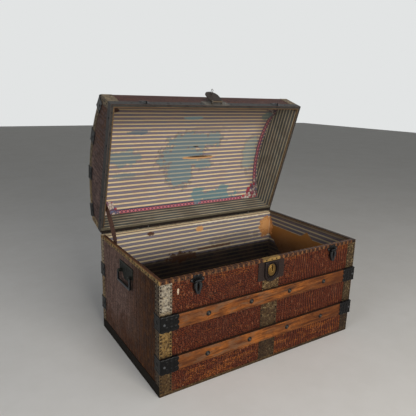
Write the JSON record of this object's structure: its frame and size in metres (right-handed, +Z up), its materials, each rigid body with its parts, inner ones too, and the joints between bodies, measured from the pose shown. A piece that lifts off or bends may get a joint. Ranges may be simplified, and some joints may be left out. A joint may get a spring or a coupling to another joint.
{
  "type": "dome top trunk",
  "caption": "Boarded travel trunk with a vaulted, hinged lid, nailed slats, iron corner clamps, hasp lock, loop latches and drop handles at the ends.",
  "frame": {"origin": "middle of the trunk's underside, on the ground", "axes": "+Z up, -Y out of the front with the lock, +X towards the right end as seen from the front"},
  "size_m": [0.892, 0.6635, 0.9612],
  "materials": {
    "board_wood": "aged, unvarnished",
    "slat_wood": "worn varnish",
    "cover_leather": "embossed alligator grain, worn",
    "striped_paper": "printed stripes, stained",
    "tin": "dull, worn to bare tin in places",
    "iron": "black japanned, worn",
    "nail": "dark, rubbed bright on top",
    "lock_iron": "dull grey",
    "lock_brass": "tarnished",
    "strap_leather": "dark, dry"
  },
  "bodies": {
    "trunk_body": {"front_board": "board_wood", "back_board": "board_wood", "left_end_board": "board_wood", "right_end_board": "board_wood", "bottom_board": "board_wood", "front_cover": "cover_leather", "back_cover": "cover_leather", "left_end_cover": "cover_leather", "right_end_cover": "cover_leather", "body_lining": "striped_paper", "front_corner_edgings": "tin", "back_corner_edgings": "tin", "body_rim_edging": "tin", "base_irons": "iron", "bottom_edging": "tin", "front_slats": "slat_wood", "back_slats": "slat_wood", "front_slat_clamps": "iron", "back_slat_clamps": "iron", "body_slat_nails": "nail", "front_centre_strip": "tin", "lock_plate": "lock_iron", "lock_horseshoe": "lock_iron", "lock_face": "lock_brass", "lock_case": "lock_iron", "latch_bases": "iron", "handle_plates": "iron", "hinge_body_leaves": "iron", "hinge_pins": "iron", "stay_anchor": "iron", "stay_strap": "strap_leather"},
    "lid": {"lid_front_board": "board_wood", "lid_back_board": "board_wood", "lid_left_end_board": "board_wood", "lid_right_end_board": "board_wood", "lid_staves": "board_wood", "lid_collar_covers": "cover_leather", "lid_dome_cover": "cover_leather", "lid_end_covers": "cover_leather", "lid_dome_lining": "striped_paper", "lid_wall_lining": "striped_paper", "lid_rim_band": "iron", "lid_left_edging": "tin", "lid_right_edging": "tin", "lid_slats": "slat_wood", "lid_slat_clamps": "iron", "lid_slat_nails": "nail", "hasp_plate": "iron", "latch_keepers": "iron", "hinge_lid_leaves": "iron", "stay_bracket": "iron"},
    "hasp": {"hasp": "iron"},
    "lock_bolt": {"lock_bolt": "lock_iron"},
    "left_latch": {"left_latch_loop": "iron"},
    "right_latch": {"right_latch_loop": "iron"},
    "left_bail": {"left_handle_bail": "iron"},
    "right_bail": {"right_handle_bail": "iron"}
  },
  "joints": [
    {"name": "lid_hinge", "type": "hinge", "parent": "trunk_body", "child": "lid", "pos_m": [0, 0.2659, 0.3965], "axis": [-1, 0, 0], "range_deg": [-72, 0], "deforming": ["stay_strap"]},
    {"name": "hasp_hinge", "type": "hinge", "parent": "lid", "child": "hasp", "pos_m": [0, 0.11448, 0.91267], "axis": [-1, 0, 0], "range_deg": [-168, 0]},
    {"name": "lock_bolt_throw", "type": "slide", "parent": "trunk_body", "child": "lock_bolt", "axis": [1, 0, 0], "range_m": [0, 0.008]},
    {"name": "left_latch_swing", "type": "hinge", "parent": "trunk_body", "child": "left_latch", "pos_m": [-0.3, -0.2685, 0.374], "axis": [-1, 0, 0], "range_deg": [0, 180]},
    {"name": "right_latch_swing", "type": "hinge", "parent": "trunk_body", "child": "right_latch", "pos_m": [0.3, -0.2685, 0.374], "axis": [-1, 0, 0], "range_deg": [0, 180]},
    {"name": "left_bail_swing", "type": "hinge", "parent": "trunk_body", "child": "left_bail", "pos_m": [-0.44, 0, 0.327], "axis": [0, 1, 0], "range_deg": [0, 100]},
    {"name": "right_bail_swing", "type": "hinge", "parent": "trunk_body", "child": "right_bail", "pos_m": [0.44, 0, 0.327], "axis": [0, -1, 0], "range_deg": [0, 100]}
  ]
}
